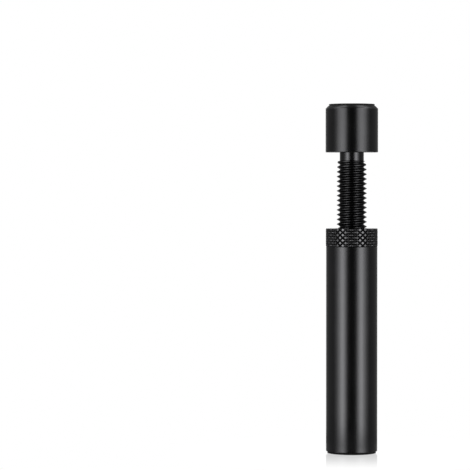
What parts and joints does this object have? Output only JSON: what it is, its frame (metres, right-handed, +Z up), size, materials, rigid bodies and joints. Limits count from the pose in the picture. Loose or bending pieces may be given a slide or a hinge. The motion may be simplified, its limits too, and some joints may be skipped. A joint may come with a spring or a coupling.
{
  "type": "graphics card support bracket",
  "caption": "Round screw stand that props up a graphics card: bored body with a magnetic foot, height screw with a knob head, knurled lock nut and soft end pads.",
  "frame": {"origin": "on the floor, at the middle of the foot", "axes": "+Z up along the screw's axis, towards the card"},
  "size_m": [0.0138, 0.0138, 0.0918],
  "materials": {
    "body_anodised": "satin black anodised, fine blasted grain",
    "screw_anodised": "satin black anodised, cut thread",
    "nut_anodised": "satin black anodised, diamond knurled",
    "pad_rubber": "matt black soft rubber",
    "magnet_nickel": "nickel plated"
  },
  "bodies": {
    "stand": {"support_tube": "body_anodised", "base_pad": "pad_rubber", "base_magnet": "magnet_nickel"},
    "nut": {"lock_nut": "nut_anodised"},
    "pad": {"top_pad": "pad_rubber"},
    "screw": {"adjusting_screw": "screw_anodised"}
  },
  "joints": [
    {"name": "nut_travel", "type": "slide", "parent": "stand", "child": "nut", "axis": [0, 0, 1], "range_m": [0, 0.00625]},
    {"name": "screw_lift", "type": "slide", "parent": "stand", "child": "pad", "axis": [0, 0, 1], "range_m": [-0.0125, 0.025]},
    {"name": "screw_turn", "type": "hinge", "parent": "pad", "child": "screw", "pos_m": [0, 0, 0.0791], "axis": [0, 0, 1], "range_deg": [-3600, 7200]}
  ],
  "couplings": [
    {"joint": "screw_lift", "follows": "screw_turn", "m_per_rad": 0.00019894}
  ]
}
